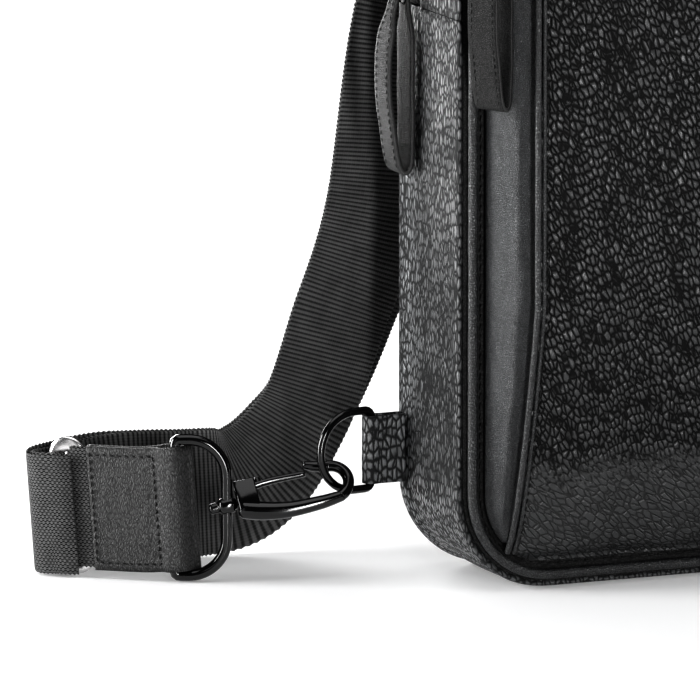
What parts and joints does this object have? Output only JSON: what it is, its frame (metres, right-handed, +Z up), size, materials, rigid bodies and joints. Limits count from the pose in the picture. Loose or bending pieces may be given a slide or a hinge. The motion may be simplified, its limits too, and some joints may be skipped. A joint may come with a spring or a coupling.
{
  "type": "sling bag",
  "caption": "Black leather sling bag with zipped body and front pocket, leather zip pulls, and a webbing shoulder strap clipped to a lower side ring by a snap hook.",
  "frame": {"origin": "middle of the bag's flat underside", "axes": "+Z up the height of the bag, -Y out of its front pocket, +X to the right as seen from the front"},
  "size_m": [0.3204, 0.1081, 0.3709],
  "materials": {
    "pebbled_leather": "pebbled full grain, satin",
    "smooth_leather": "fine smooth grain, satin",
    "edge_leather": "fine smooth grain, cut and rolled edges",
    "webbing": "ribbed woven webbing, matte",
    "lining_fabric": "plain woven, matte",
    "foam": "soft foam sheet",
    "board": "stiff board",
    "zip_tape": "woven tape, matte",
    "zip_coil": "nylon coil",
    "black_metal": "gloss black plated",
    "silver_metal": "polished bright",
    "spring_steel": "bare wire"
  },
  "bodies": {
    "bag": {"gusset_lower": "pebbled_leather", "gusset_upper_front": "pebbled_leather", "gusset_upper_back": "pebbled_leather", "front_panel": "pebbled_leather", "back_panel": "pebbled_leather", "pocket_front": "pebbled_leather", "left_ring_tab": "pebbled_leather", "right_ring_tab": "pebbled_leather", "strap_anchor": "pebbled_leather", "pocket_side_left": "smooth_leather", "pocket_side_right": "smooth_leather", "pocket_zip_edge_outer": "smooth_leather", "pocket_zip_edge_inner": "smooth_leather", "strap_end_tab": "smooth_leather", "front_piping": "edge_leather", "back_piping": "edge_leather", "pocket_trim": "edge_leather", "strap_webbing": "webbing", "tab_webbing": "webbing", "lining": "lining_fabric", "back_foam": "foam", "base_board": "board", "main_zip_tape": "zip_tape", "pocket_zip_tape": "zip_tape", "main_zip_coil": "zip_coil", "pocket_zip_coil": "zip_coil", "anchor_ring": "black_metal", "adjuster": "silver_metal"},
    "main_zip_slider": {"main_zip_slider": "black_metal"},
    "main_zip_pull": {"main_zip_pull_bail": "black_metal", "main_zip_pull_leather": "edge_leather"},
    "pocket_zip_slider": {"pocket_zip_slider": "black_metal"},
    "pocket_zip_pull": {"pocket_zip_pull_bail": "black_metal", "pocket_zip_pull_leather": "edge_leather"},
    "left_ring": {"left_bag_ring": "black_metal"},
    "right_ring": {"right_bag_ring": "black_metal"},
    "strap_ring": {"strap_ring": "black_metal"},
    "hook": {"hook_body": "black_metal", "hook_swivel_pin": "black_metal", "gate_pin": "black_metal", "gate_spring": "spring_steel"},
    "gate": {"hook_gate": "black_metal"}
  },
  "joints": [
    {"name": "main_zip_travel", "type": "slide", "parent": "bag", "child": "main_zip_slider", "axis": [0, 0, 1], "range_m": [0, 0.07]},
    {"name": "main_pull_swing", "type": "hinge", "parent": "main_zip_slider", "child": "main_zip_pull", "pos_m": [-0.09925, 0.011, 0.178], "axis": [0, 1, 0], "range_deg": [0, 150]},
    {"name": "pocket_zip_travel", "type": "slide", "parent": "bag", "child": "pocket_zip_slider", "axis": [0, 0, 1], "range_m": [0, 0.045]},
    {"name": "pocket_pull_swing", "type": "hinge", "parent": "pocket_zip_slider", "child": "pocket_zip_pull", "pos_m": [-0.08838, -0.03173, 0.202], "axis": [-0.4788, 0.8779, 0], "range_deg": [0, 150]},
    {"name": "strap_ring_swing", "type": "hinge", "parent": "bag", "child": "strap_ring", "pos_m": [-0.1622, 0.0287, 0.02185], "axis": [0, 0, 1], "range_deg": [-1.9, 1.9]},
    {"name": "hook_swivel", "type": "hinge", "parent": "strap_ring", "child": "hook", "pos_m": [-0.14843, 0.02275, 0.02245], "axis": [0.9422, -0.2642, 0.2058], "range_deg": [-5, 5]},
    {"name": "gate_swing", "type": "hinge", "parent": "hook", "child": "gate", "pos_m": [-0.14241, 0.02325, 0.02662], "axis": [0.3349, 0.7463, -0.5752], "range_deg": [0, 15], "stiffness_Nm_per_rad": 0.01, "springref_deg": -8.59},
    {"name": "left_ring_swing", "type": "hinge", "parent": "bag", "child": "left_ring", "pos_m": [-0.1053, 0.017, 0.037], "axis": [0, 0, 1], "range_deg": [-6, 6]},
    {"name": "right_ring_swing", "type": "hinge", "parent": "bag", "child": "right_ring", "pos_m": [0.1053, 0.017, 0.037], "axis": [0, 0, 1], "range_deg": [-80, 80]}
  ],
  "couplings": [
    {"joint": "left_ring_swing", "follows": "strap_ring_swing", "ratio": -3.15}
  ]
}
